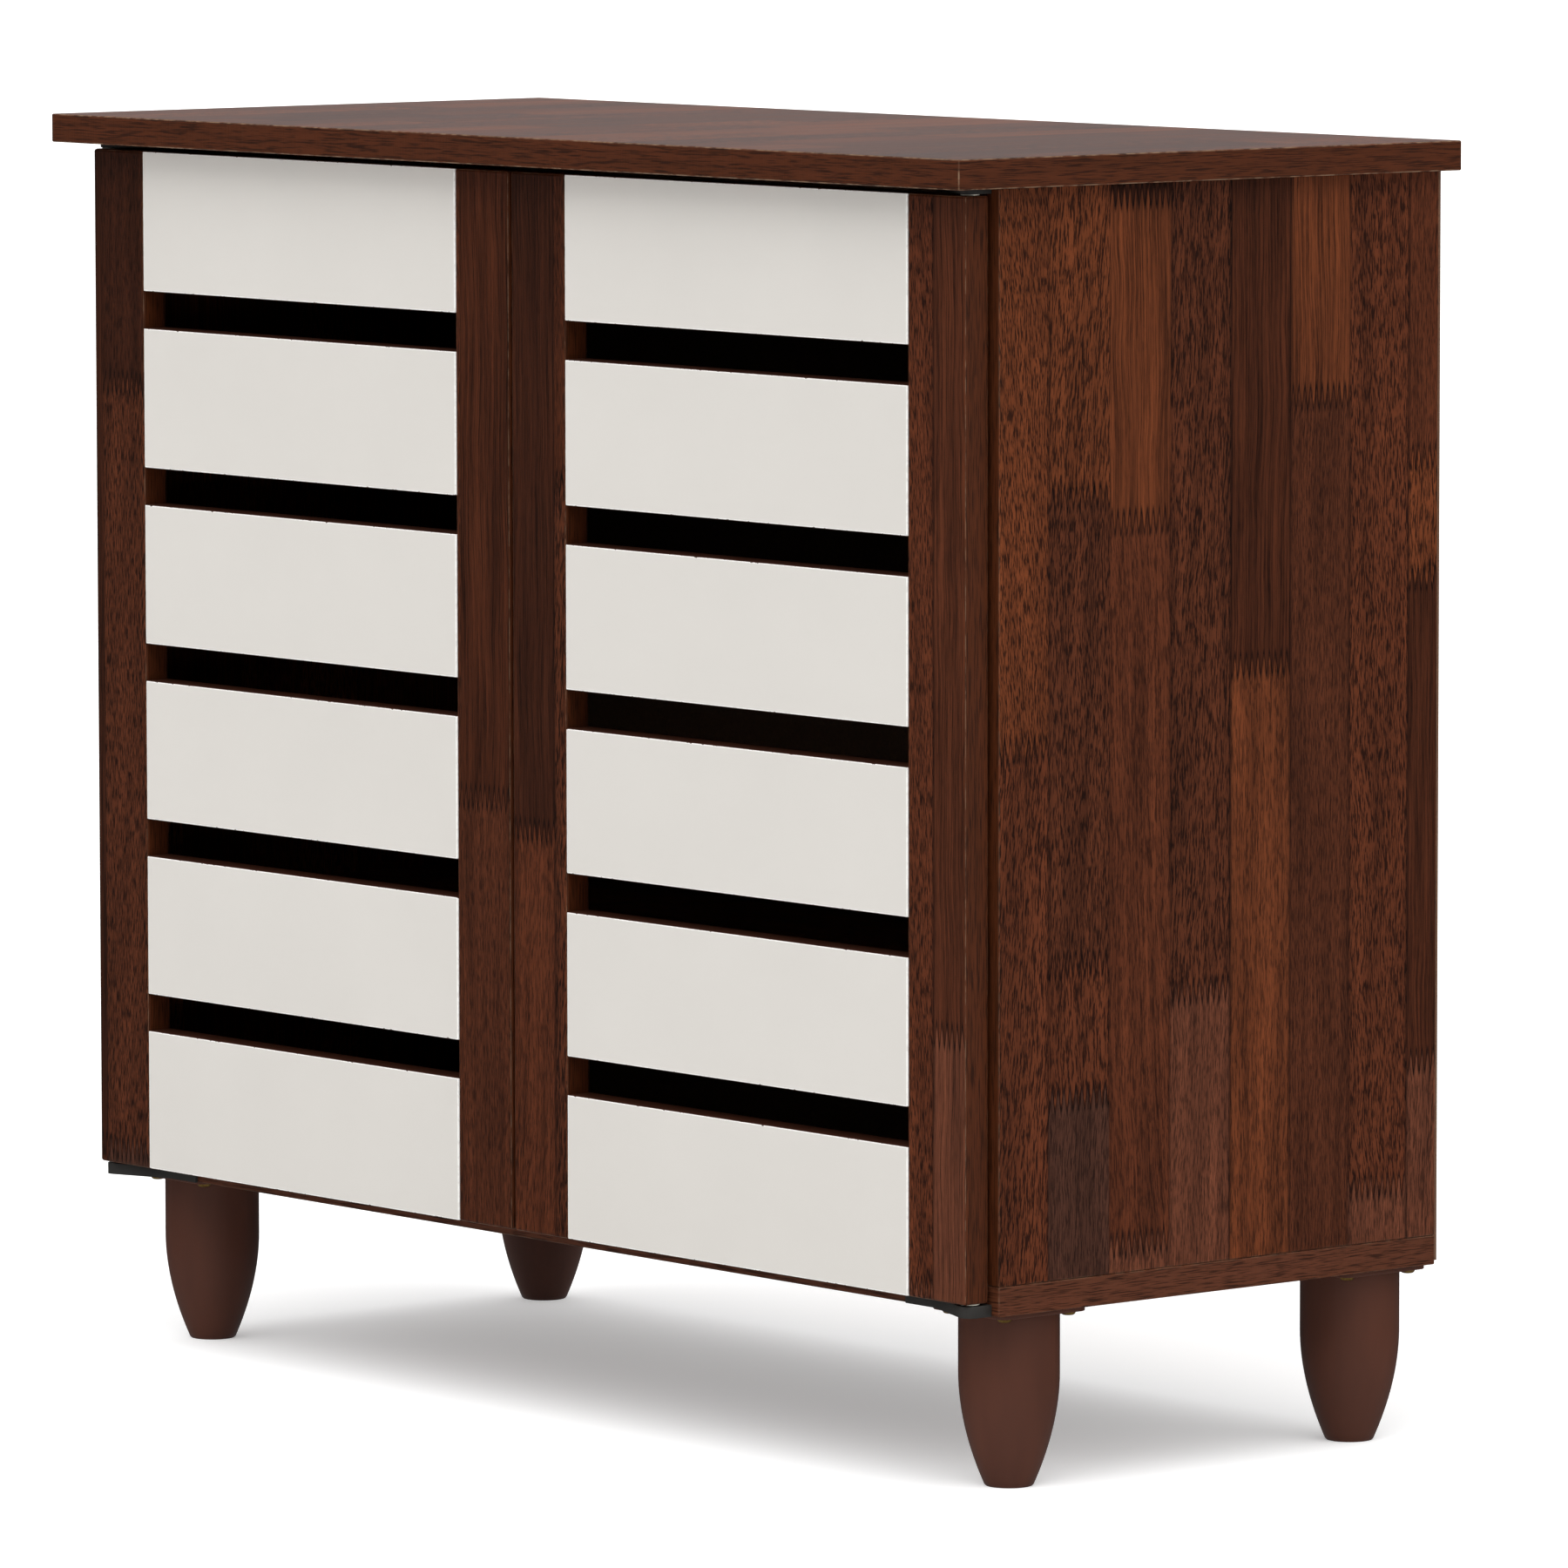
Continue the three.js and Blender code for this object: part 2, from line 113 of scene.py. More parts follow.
def node(tree, kind, inputs=None, out=0, **settings):
    """Adds a node and returns one of its outputs; an input is a value or another node's output."""
    made = tree.nodes.new(kind)
    for key, value in settings.items():
        setattr(made, key, value)
    for key, value in (inputs or {}).items():
        if isinstance(value, bpy.types.NodeSocket):
            tree.links.new(value, made.inputs[key])
        else:
            made.inputs[key].default_value = value
    return made.outputs[out]


MATHS = "ShaderNodeMath"
VECTOR = "ShaderNodeVectorMath"
RANGE = "ShaderNodeMapRange"
NOISE = "ShaderNodeTexNoise"
MIX = "ShaderNodeMix"
RAMP = "ShaderNodeValToRGB"
MIX_A = 6
MIX_B = 7
MIX_OUT = 2


def new_material(name):
    material = bpy.data.materials.new(name)
    material.use_nodes = True
    material.node_tree.nodes.clear()
    return material, material.node_tree


def finish_material(tree, inputs):
    """Ends a material in a surface shader with these inputs."""
    shader = node(tree, "ShaderNodeBsdfPrincipled", inputs)
    output = tree.nodes.new("ShaderNodeOutputMaterial")
    tree.links.new(shader, output.inputs["Surface"])


def object_millimetres(tree):
    place = node(tree, "ShaderNodeTexCoord", out=3)
    return node(tree, VECTOR, {0: place, 3: 1 / MM}, operation="SCALE")


def stepped_ramp(tree, factor, colours):
    """Looks a colour up in a list by a factor that runs from 0 to 1."""
    output = node(tree, RAMP, {0: factor})
    ramp = output.node.color_ramp
    ramp.interpolation = "CONSTANT"
    while len(ramp.elements) < len(colours):
        ramp.elements.new(1.0)
    for index, colour in enumerate(colours):
        ramp.elements[index].position = index / len(colours)
        ramp.elements[index].color = colour
    return output


def tint(tree, factor, first, second, blend="MIX"):
    inputs = {0: factor, MIX_A: first, MIX_B: second}
    return node(tree, MIX, inputs, out=MIX_OUT, data_type="RGBA", blend_type=blend)


def stretched_noise(tree, place, stretch, detail, roughness=0.5):
    """Noise drawn out by a number of features per millimetre for each axis."""
    stretched = node(tree, VECTOR, {0: place, 1: stretch}, operation="MULTIPLY")
    return node(tree, NOISE, {"Vector": stretched, "Scale": 1.0, "Detail": detail, "Roughness": roughness})


def arris_distances(tree, place, low, high):
    """Distance in from the nearest face on each axis, and from the nearest arris, in millimetres."""
    from_low = node(tree, VECTOR, {0: place, 1: low}, operation="SUBTRACT")
    from_high = node(tree, VECTOR, {0: high, 1: place}, operation="SUBTRACT")
    inside = node(tree, VECTOR, {0: from_low, 1: from_high}, operation="MINIMUM")
    parts = node(tree, "ShaderNodeSeparateXYZ", {0: inside}).node.outputs
    lower = node(tree, MATHS, {0: parts[0], 1: parts[1]}, operation="MINIMUM")
    upper = node(tree, MATHS, {0: parts[0], 1: parts[1]}, operation="MAXIMUM")
    middle = node(tree, MATHS, {0: upper, 1: parts[2]}, operation="MINIMUM")
    arris = node(tree, MATHS, {0: lower, 1: middle}, operation="MAXIMUM")
    return parts, arris


# ---------------------------------------------------------------- walnut print

STRIP = 42.3  # width of a lamella, mm
BLOCKS = 4  # most blocks in a lamella
FINGER_PITCH = 4.1
FINGER_LENGTH = 10.5
LENGTH_SPARE = 1.1  # the print's length over the board's, so that no finger is cut short
STEEPEST_GRAIN = 0.07  # the most that flecked grain leans, across over along
GRAIN_SWAY = 8.0  # how far lines wander, mm
# Features per millimetre across the grain, along it and from block to block.
SWAY = (0.03, 0.012, 1)
BANDS = (0.11, 0.006, 1)  # bands about 9 mm wide
LINES = (1.2, 0.012, 1)  # lines about 0.8 mm wide
PORES = (1.4, 0.12, 1)  # pores about 0.7 mm by 8 mm
PRINT_DEPTH = 0.4  # how far in from a face the print reaches, mm
FOIL_TONES = {
    "smoked": "#36180a", "burnt": "#401d0c", "umber": "#492311", "chestnut": "#502612",
    "russet": "#5c2d14", "rosy": "#5c3220", "ashen": "#42261b",
}
# Share of a block's grain that is short dark flecks instead of long lines.
FOIL_GRAINS = {"lined": 0.2, "mixed": 0.6, "flecked": 1.0}

# Lamellas laid out one by one: their joints' heights above the board's foot, mm, then the blocks upwards.
RIGHT_SIDE = [
    ((280,), ("chestnut flecked", "russet flecked")),
    ((95, 165, 410), ("ashen mixed", "chestnut flecked", "umber flecked", "russet flecked")),
    ((15, 395, 565), ("rosy mixed", "chestnut mixed", "russet lined", "smoked mixed")),
    ((145,), ("rosy mixed", "umber flecked")),
    ((315,), ("russet mixed", "burnt lined")),
    ((455,), ("umber mixed", "russet lined")),
    ((30,), ("rosy mixed", "chestnut flecked")),
    ((95, 355, 420), ("rosy mixed", "burnt lined", "russet flecked", "chestnut mixed")),
]
LEFT_DOOR_OUTER = [
    ((10,), ("burnt mixed", "smoked lined")),
    ((10, 445), ("ashen mixed", "umber flecked", "smoked mixed")),
]
LEFT_DOOR_INNER = [((235,), ("umber mixed", "burnt lined"))]
RIGHT_DOOR_INNER = [((220,), ("chestnut mixed", "smoked lined")), ((410,), ("umber flecked", "burnt mixed"))]
RIGHT_DOOR_OUTER = [((5,), ("rosy flecked", "chestnut flecked")), ((140,), ("rosy lined", "umber lined"))]
DRAWN_BLOCKS = (
    "burnt lined", "umber flecked", "chestnut mixed", "russet flecked", "umber lined", "chestnut flecked",
    "russet lined", "chestnut lined",
)
EDGING_TONES = ("#43210f", "#562a15")
# Paler edging for the bottom board, just above the floor: a painted reflection of the bright floor.
FLOOR_REFLECTION_EDGING_TONES = ("#4e2b1a", "#643724")


def foil_entry(block):
    """A block's colour, with its share of flecks as the alpha."""
    tone, grain = block.split()
    return linear(FOIL_TONES[tone])[:3] + [FOIL_GRAINS[grain]]


def pass_joint(tree, share, height, number, nearest):
    """Counts a joint that a point lies past, and keeps the distance to the nearest joint."""
    passed = node(tree, MATHS, {0: share, 1: height}, operation="GREATER_THAN")
    number = node(tree, MATHS, {0: number, 1: passed}, operation="ADD")
    away = node(tree, MATHS, {0: share, 1: height}, operation="SUBTRACT")
    away = node(tree, MATHS, {0: away}, operation="ABSOLUTE")
    if nearest is not None:
        away = node(tree, MATHS, {0: nearest, 1: away}, operation="MINIMUM")
    return number, away


def chosen_blocks(tree, blocks, length, strip, share):
    """A block number and tone for each point of a board whose lamellas are laid out one by one."""
    count = len(blocks)
    middle = node(tree, MATHS, {0: strip, 1: 0.5}, operation="ADD")
    strip_place = node(tree, MATHS, {0: middle, 1: count}, operation="DIVIDE", use_clamp=True)
    number = node(tree, MATHS, {0: strip, 1: BLOCKS}, operation="MULTIPLY")
    nearest = None
    for slot in range(BLOCKS - 1):
        heights = [
            joints[slot] / (length * LENGTH_SPARE) if slot < len(joints) else 1.0
            for joints, _ in blocks
        ]
        height = stepped_ramp(tree, strip_place, [(h, h, h, 1.0) for h in heights])
        number, nearest = pass_joint(tree, share, height, number, nearest)
    centred = node(tree, MATHS, {0: number, 1: 0.5}, operation="ADD")
    place = node(tree, MATHS, {0: centred, 1: count * BLOCKS}, operation="DIVIDE", use_clamp=True)
    entries = [
        foil_entry(names[min(index, len(names) - 1)])
        for _, names in blocks
        for index in range(BLOCKS)
    ]
    tone = stepped_ramp(tree, place, entries)
    return number, tone, nearest


def drawn_blocks(tree, strip, share, seed):
    """A block number and tone for each point of a board whose lamellas are drawn by chance."""
    chance = node(tree, MATHS, {0: strip, 1: 3.7, 2: seed}, operation="MULTIPLY_ADD")
    draw = node(tree, "ShaderNodeTexWhiteNoise", {"W": chance}, out=1, noise_dimensions="1D")
    draws = node(tree, "ShaderNodeSeparateColor", {0: draw}).node.outputs
    number = node(tree, MATHS, {0: strip, 1: BLOCKS}, operation="MULTIPLY")
    nearest = None
    for height in (draws[0], draws[1]):
        number, nearest = pass_joint(tree, share, height, number, nearest)
    pick = node(tree, MATHS, {0: number, 1: 1.93, 2: seed}, operation="MULTIPLY_ADD")
    picked = node(tree, "ShaderNodeTexWhiteNoise", {"W": pick}, noise_dimensions="1D")
    tone = stepped_ramp(tree, picked, [foil_entry(block) for block in DRAWN_BLOCKS])
    return number, tone, nearest


def finger_jointed(tree, across, along, length):
    """How many strips a point lies across, and its share of the length with finger joints cut in."""
    strips = node(tree, MATHS, {0: across, 1: STRIP}, operation="DIVIDE")
    wave = node(tree, MATHS, {0: across, 1: FINGER_PITCH / 2}, operation="PINGPONG")
    finger = node(
        tree, RANGE,
        {0: wave, 1: 0.1 * FINGER_PITCH, 2: 0.4 * FINGER_PITCH, 3: -FINGER_LENGTH / 2, 4: FINGER_LENGTH / 2},
    )
    jointed = node(tree, MATHS, {0: along, 1: finger}, operation="ADD")
    share = node(tree, MATHS, {0: jointed, 1: length * LENGTH_SPARE}, operation="DIVIDE")
    return strips, share


def walnut_grain(tree, across, along, number, fleck_share, seed):
    """A block's bands, lines and pores, as one shade; the lines and pores are given too."""
    chance = node(tree, MATHS, {0: number, 1: 0.73, 2: seed}, operation="MULTIPLY_ADD")
    draw = node(tree, "ShaderNodeTexWhiteNoise", {"W": chance}, out=1, noise_dimensions="1D")
    draws = node(tree, "ShaderNodeSeparateColor", {0: draw}).node.outputs
    slant = node(tree, RANGE, {0: draws[1], 3: -STEEPEST_GRAIN, 4: STEEPEST_GRAIN})
    slant = node(tree, MATHS, {0: slant, 1: fleck_share}, operation="MULTIPLY")
    leaned = node(tree, MATHS, {0: along, 1: slant, 2: across}, operation="MULTIPLY_ADD")
    depth = node(tree, MATHS, {0: draws[0], 1: 400.0}, operation="MULTIPLY")
    figure_place = node(tree, "ShaderNodeCombineXYZ", {0: leaned, 1: along, 2: depth})
    sway = stretched_noise(tree, figure_place, SWAY, 2)
    swayed = node(tree, MATHS, {0: sway, 1: GRAIN_SWAY, 2: leaned}, operation="MULTIPLY_ADD")
    grain_place = node(tree, "ShaderNodeCombineXYZ", {0: swayed, 1: along, 2: depth})

    figure = stretched_noise(tree, grain_place, BANDS, 2)
    lines = stretched_noise(tree, grain_place, LINES, 3, 0.65)
    pores = stretched_noise(tree, grain_place, PORES, 2, 0.65)
    band = node(tree, RANGE, {0: figure, 1: 0.3, 2: 0.7, 3: 0.75, 4: 1.25})
    line = node(tree, RANGE, {0: lines, 1: 0.38, 2: 0.6, 3: 0.36, 4: 1.48})
    fleck = node(tree, RANGE, {0: pores, 1: 0.47, 2: 0.56, 3: 1.34, 4: 0.25})
    flecked = node(tree, MIX, {0: fleck_share, 2: line, 3: fleck})
    shade = node(tree, MATHS, {0: band, 1: flecked}, operation="MULTIPLY")
    return shade, lines, fleck


def joint_lines(tree, strips, joint, seed):
    """How much light is left along the strips' seams and the blocks' finger joints."""
    nearest = node(tree, MATHS, {0: strips, 1: 0.5}, operation="ADD")
    nearest = node(tree, MATHS, {0: nearest}, operation="FLOOR")
    seam_draw = node(tree, MATHS, {0: nearest, 1: seed + 0.5}, operation="ADD")
    seam_chance = node(tree, "ShaderNodeTexWhiteNoise", {"W": seam_draw}, noise_dimensions="1D")
    seam_away = node(tree, MATHS, {0: strips, 1: nearest}, operation="SUBTRACT")
    seam_away = node(tree, MATHS, {0: seam_away}, operation="ABSOLUTE")
    seam = node(tree, RANGE, {0: seam_away, 1: 0.012, 2: 0.035, 3: 0.6, 4: 0.0})
    seam = node(tree, MATHS, {0: seam, 1: seam_chance}, operation="MULTIPLY")
    comb = node(tree, RANGE, {0: joint, 1: 0.0015, 2: 0.006, 3: 0.75, 4: 0.0})
    dark = node(tree, MATHS, {0: seam, 1: comb}, operation="MAXIMUM")
    return node(tree, MATHS, {0: 1.0, 1: dark}, operation="SUBTRACT")


def wood_edging(tree, place, print_axis, tones):
    """ABS edging with pores that run along it, drawn out on both axes but the board's thickness."""
    drawn_out = [0.06, 0.06, 0.06]
    drawn_out[print_axis] = 1.7
    dashes = stretched_noise(tree, place, drawn_out, 2, 0.6)
    drift = stretched_noise(tree, place, [size * 0.16 for size in drawn_out], 2)
    dash = node(tree, RANGE, {0: dashes, 1: 0.5, 2: 0.6, 3: 0.0, 4: 0.9})
    ground = tint(tree, drift, *(linear(tone) for tone in tones))
    return tint(tree, dash, ground, linear("#2b150b"))


def walnut_board(
    name, board, print_axis, grain_axis, seed, blocks=None, start=0.0, arris_highlight_strength=0.5, edging_tones=EDGING_TONES,
):
    """Particle board with a walnut print and ABS edging.

    The foil is printed with finger-jointed lamellas and pressed with a satin plate, so it shows
    dark pores and streaks under one even sheen. A pale tan line in patches along the arrises,
    where the edging meets the foil, is a painted highlight for light caught on the rounded edges.
    The first lamella begins a little way, start, outside the board.
    """
    across_axis = 3 - print_axis - grain_axis
    low, high = (Vector(corner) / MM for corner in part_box(board))
    length = high[grain_axis] - low[grain_axis]
    material, tree = new_material(name)
    place = object_millimetres(tree)
    inside, arris = arris_distances(tree, place, low, high)
    parts = node(tree, "ShaderNodeSeparateXYZ", {0: place}).node.outputs
    across = node(tree, MATHS, {0: parts[across_axis], 1: low[across_axis] - start}, operation="SUBTRACT")
    along = node(tree, MATHS, {0: parts[grain_axis], 1: low[grain_axis]}, operation="SUBTRACT")

    strips, share = finger_jointed(tree, across, along, length)
    strip = node(tree, MATHS, {0: strips}, operation="FLOOR")
    if blocks:
        number, tone, joint = chosen_blocks(tree, blocks, length, strip, share)
    else:
        number, tone, joint = drawn_blocks(tree, strip, share, seed)
    shade, lines, fleck = walnut_grain(tree, across, along, number, tone.node.outputs["Alpha"], seed)
    light = joint_lines(tree, strips, joint, seed)
    shade = node(tree, MATHS, {0: shade, 1: light}, operation="MULTIPLY")
    foil = node(tree, VECTOR, {0: tone, 3: shade}, operation="SCALE")

    on_foil = node(tree, MATHS, {0: inside[print_axis], 1: PRINT_DEPTH}, operation="LESS_THAN")
    body = tint(tree, on_foil, wood_edging(tree, place, print_axis, edging_tones), foil)
    patches = node(tree, NOISE, {"Vector": place, "Scale": 0.16, "Detail": 3.0})
    # Painted highlight: a pale tan line, in patches, along the arrises, standing for light caught on the
    # rounded edges.
    painted_arris_highlight = node(tree, RANGE, {0: patches, 1: 0.42, 2: 0.6, 3: arris_highlight_strength * 0.2, 4: arris_highlight_strength * 1.4})
    on_arris = node(tree, RANGE, {0: arris, 1: 0.4, 2: 0.8, 3: 1.0, 4: 0.0})
    painted_arris_highlight = node(tree, MATHS, {0: painted_arris_highlight, 1: on_arris}, operation="MULTIPLY", use_clamp=True)
    surface = tint(tree, painted_arris_highlight, body, linear("#806650"))
    pressed = node(tree, "ShaderNodeBump", {"Strength": 0.2, "Distance": 0.0001, "Height": fleck})
    sheen = node(tree, RANGE, {0: lines, 1: 0.3, 2: 0.7, 3: 0.42, 4: 0.5})
    finish_material(tree, {
        "Base Color": surface, "Roughness": sheen, "Normal": pressed, "IOR": 1.5, "Specular IOR Level": 0.13,
    })
    return material


# ---------------------------------------------------------------- other finishes


def white_melamine(door_top, pitch, height, reach):
    """White melamine-faced board with brown edging on its long edges.

    The paper is pressed satin smooth; a near-white line in broken patches along its rims is a painted
    highlight.
    """
    material, tree = new_material("white_melamine")
    place = object_millimetres(tree)
    parts = node(tree, "ShaderNodeSeparateXYZ", {0: place}).node.outputs
    drop = node(tree, MATHS, {0: door_top, 1: parts[2]}, operation="SUBTRACT")
    drop = node(tree, MATHS, {0: drop, 1: pitch}, operation="FLOORED_MODULO")
    beside = node(tree, MATHS, {0: parts[0]}, operation="ABSOLUTE")
    folded = node(tree, "ShaderNodeCombineXYZ", {0: beside, 1: parts[1], 2: drop})
    low = (reach[0][0], reach[0][1], 0.0)
    high = (reach[1][0], reach[1][1], height)
    inside, arris = arris_distances(tree, folded, low, high)
    cloud = node(tree, NOISE, {"Vector": place, "Scale": 0.012, "Detail": 3.0})
    paper = tint(tree, cloud, linear("#d6d2cc"), linear("#dcd8d2"))
    # Noise that breaks the painted rim highlight into patches and makes the edging's border ragged.
    ragged_edge_and_highlight_noise = node(tree, NOISE, {"Vector": place, "Scale": 0.35, "Detail": 3.0})
    # Painted highlight: near-white patches along the rims, brighter than the paper.
    bright = node(tree, RANGE, {0: ragged_edge_and_highlight_noise, 1: 0.35, 2: 0.55, 3: 0.5, 4: 1.0})
    on_arris = node(tree, RANGE, {0: arris, 1: 0.7, 2: 1.2, 3: 1.0, 4: 0.0})
    bright = node(tree, MATHS, {0: bright, 1: on_arris}, operation="MULTIPLY")
    face = tint(tree, bright, paper, linear("#fbfaf6"))
    lines = stretched_noise(tree, place, (0.035, 0.9, 0.035), 3)
    edging = tint(tree, lines, linear("#27130c"), linear("#4a2617"))
    bite = node(tree, RANGE, {0: ragged_edge_and_highlight_noise, 1: 0.6, 2: 0.75, 3: 0.4, 4: 0.9})
    on_edging = node(tree, MATHS, {0: inside[2], 1: bite}, operation="LESS_THAN")
    surface = tint(tree, on_edging, face, edging)
    orange_peel = node(tree, NOISE, {"Vector": place, "Scale": 0.8, "Detail": 2.0})
    pressed = node(tree, "ShaderNodeBump", {"Strength": 0.08, "Distance": 0.0001, "Height": orange_peel})
    finish_material(tree, {
        "Base Color": surface, "Roughness": 0.38, "Normal": pressed, "IOR": 1.5, "Specular IOR Level": 0.4,
    })
    return material


def moulded_plastic(name, dark, light, roughness, grit):
    """Injection-moulded plastic: one colour with faint flow marks and the mould's fine grit."""
    material, tree = new_material(name)
    place = object_millimetres(tree)
    flow = stretched_noise(tree, place, (0.05, 0.05, 0.01), 3)
    marks = node(tree, RANGE, {0: flow, 1: 0.3, 2: 0.7, 3: 0.0, 4: 1.0})
    colour = tint(tree, marks, linear(dark), linear(light))
    speckle = node(tree, NOISE, {"Vector": place, "Scale": 1 / grit, "Detail": 2.0})
    sheen = node(tree, RANGE, {0: speckle, 1: 0.3, 2: 0.7, 3: roughness - 0.04, 4: roughness + 0.05})
    spark = node(tree, "ShaderNodeBump", {"Strength": 0.15, "Distance": 0.0001, "Height": speckle})
    finish_material(tree, {
        "Base Color": colour, "Roughness": sheen, "Normal": spark, "IOR": 1.5, "Specular IOR Level": 0.3,
    })
    return material


def plated_steel(name, dark, light, roughness):
    """Zinc-plated steel, clear or yellow passivated: a cloudy thin plating that reads a little dull."""
    material, tree = new_material(name)
    place = object_millimetres(tree)
    spangle = node(tree, NOISE, {"Vector": place, "Scale": 0.6, "Detail": 3.0})
    patches = node(tree, RANGE, {0: spangle, 1: 0.35, 2: 0.65, 3: 0.0, 4: 1.0})
    colour = tint(tree, patches, linear(dark), linear(light))
    sheen = node(tree, RANGE, {0: spangle, 1: 0.3, 2: 0.7, 3: roughness, 4: roughness + 0.15})
    finish_material(tree, {"Base Color": colour, "Roughness": sheen, "Metallic": 1.0})
    return material


def hardboard():
    """Hardboard: pressed brown fibre with a smooth sealed face, a speckle of chips and no gloss."""
    material, tree = new_material("sealed_hardboard")
    place = object_millimetres(tree)
    clouds = node(tree, NOISE, {"Vector": place, "Scale": 0.01, "Detail": 4.0})
    ground = tint(tree, clouds, linear("#66462f"), linear("#735039"))
    fibres = node(tree, NOISE, {"Vector": place, "Scale": 0.7, "Detail": 4.0, "Roughness": 0.7})
    fleck = node(tree, RANGE, {0: fibres, 1: 0.52, 2: 0.7, 3: 0.0, 4: 0.55})
    colour = tint(tree, fleck, ground, linear("#3a2416"))
    pale = node(tree, RANGE, {0: fibres, 1: 0.3, 2: 0.42, 3: 0.35, 4: 0.0})
    colour = tint(tree, pale, colour, linear("#a07a55"))
    rough = node(tree, "ShaderNodeBump", {"Strength": 0.4, "Distance": 0.0002, "Height": fibres})
    finish_material(tree, {"Base Color": colour, "Roughness": 0.75, "Normal": rough, "IOR": 1.5})
    return material


def dress(names, material):
    """Gives CAD nodes their finish."""
    for name in names:
        slots = NODES[name].data.materials
        slots.clear()
        slots.append(material)


SIDE_START = 8.5


def dress_boards():
    # Boards differ in how strongly their arrises show the painted highlight: the top most, the right side
    # least.
    dress(["side_panel_left"], walnut_board(
        "walnut_print_left", "side_panel_left", 0, 2, 11, start=SIDE_START,
    ))
    dress(["side_panel_right"], walnut_board(
        "walnut_print_right", "side_panel_right", 0, 2, 23, RIGHT_SIDE, start=SIDE_START, arris_highlight_strength=0.15,
    ))
    dress(["top_panel"], walnut_board("walnut_print_top", "top_panel", 2, 1, 37, arris_highlight_strength=0.7))
    # The bottom board's edging is paler: a painted reflection of the floor below it.
    dress(["bottom_panel"], walnut_board(
        "walnut_print_bottom", "bottom_panel", 2, 0, 41, arris_highlight_strength=0.2, edging_tones=FLOOR_REFLECTION_EDGING_TONES,
    ))
    for seed, shelf in enumerate(SHELVES, start=51):
        name = f"shelf_{shelf}"
        dress([name], walnut_board(f"walnut_print_{name}", name, 2, 0, seed))
    stiles = (
        ("door_left_stile_outer", LEFT_DOOR_OUTER, 34.8),
        ("door_left_stile_inner", LEFT_DOOR_INNER, -4.0),
        ("door_right_stile_inner", RIGHT_DOOR_INNER, 5.6),
        ("door_right_stile_outer", RIGHT_DOOR_OUTER, 21.5),
    )
    for seed, (name, blocks, start) in enumerate(stiles, start=61):
        dress([name], walnut_board(f"walnut_print_{name}", name, 1, 2, seed, blocks, start))


def dress_slats():
    first = [Vector(c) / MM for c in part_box("door_right_slat_1")]
    second = [Vector(c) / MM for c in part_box("door_right_slat_2")]
    pitch = first[1].z - second[1].z
    height = first[1].z - first[0].z
    names = [f"door_{side}_slat_{number}" for side in SIDES for number in SLATS]
    dress(names, white_melamine(first[1].z, pitch, height, first))


# ---------------------------------------------------------------- modelling helpers


def deselect_all():
    if bpy.context.object and bpy.context.object.mode != "OBJECT":
        bpy.ops.object.mode_set(mode="OBJECT")
    bpy.ops.object.select_all(action="DESELECT")


def select_faces(piece, wanted):
    """Goes to edit mode with only the wanted faces selected."""
    bpy.ops.object.mode_set(mode="EDIT")
    bpy.ops.mesh.select_mode(type="FACE")
    bpy.ops.mesh.select_all(action="DESELECT")
    bpy.ops.object.mode_set(mode="OBJECT")
    for face in piece.data.polygons:
        face.select = wanted(face)
    bpy.ops.object.mode_set(mode="EDIT")


def select_edges(piece, wanted):
    """Goes to edit mode with only the edges selected whose two ends pass the test."""
    bpy.ops.object.mode_set(mode="EDIT")
    bpy.ops.mesh.select_mode(type="EDGE")
    bpy.ops.mesh.select_all(action="DESELECT")
    bpy.ops.object.mode_set(mode="OBJECT")
    points = piece.data.vertices
    for edge in piece.data.edges:
        edge.select = wanted(*(points[index].co for index in edge.vertices))
    bpy.ops.object.mode_set(mode="EDIT")


def close_piece(piece, name, material, smooth_angle=35):
    """Leaves edit mode, puts the piece's place into its mesh and gives it a finish."""
    bpy.ops.object.mode_set(mode="OBJECT")
    bpy.ops.object.transform_apply(location=True, rotation=True, scale=True)
    bpy.ops.object.shade_smooth_by_angle(angle=math.radians(smooth_angle))
    piece.name = name
    piece.data.name = name
    piece.data.materials.clear()
    piece.data.materials.append(material)
    return piece


def placed_copy(piece, name, matrix, body):
    """A copy with its own mesh, moved in the mesh, that rides on a body."""
    copy = bpy.data.objects.new(name, piece.data.copy())
    copy.data.name = name
    copy.data.transform(matrix)
    bpy.context.scene.collection.objects.link(copy)
    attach(copy, body)
    return copy


def softened_copy(node_name, width, material, body):
    """A CAD node's shape with its sharp edges rounded, which stands for that node."""
    deselect_all()
    piece = bpy.data.objects.new(f"{node_name}_moulded", NODES[node_name].data.copy())
    bpy.context.scene.collection.objects.link(piece)
    bpy.context.view_layer.objects.active = piece
    piece.select_set(True)
    bpy.ops.object.mode_set(mode="EDIT")
    bpy.ops.mesh.select_all(action="SELECT")
    bpy.ops.mesh.remove_doubles(threshold=0.00001)
    bpy.ops.mesh.dissolve_limited(angle_limit=math.radians(1))
    bpy.ops.object.mode_set(mode="OBJECT")
    bevel = piece.modifiers.new("rounding", "BEVEL")
    bevel.width = width
    bevel.segments = 2
    bevel.angle_limit = math.radians(40)
    bpy.ops.object.modifier_apply(modifier=bevel.name)
    close_piece(piece, piece.name, material)
    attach(piece, body)
    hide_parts(node_name)
    return piece


# ---------------------------------------------------------------- turned legs

LEG_FACETS = 96
LEG_TAPER_HEIGHT = 60 * MM
LEG_FOOT_NARROWING = 14 * MM
LEG_TAPER_POWER = 1.9
LEG_TAPER_RINGS = 16
LEG_STUD_RADIUS = 4 * MM
LEG_SHOULDER = 0.6 * MM
FOOT_EDGE = 0.8 * MM
FOOT_RECESS = 1.2 * MM
FOOT_RIM = 2.5 * MM


def leg_radius(full, height):
    below = max(0.0, 1 - height / LEG_TAPER_HEIGHT)
    return full - LEG_FOOT_NARROWING * below ** LEG_TAPER_POWER


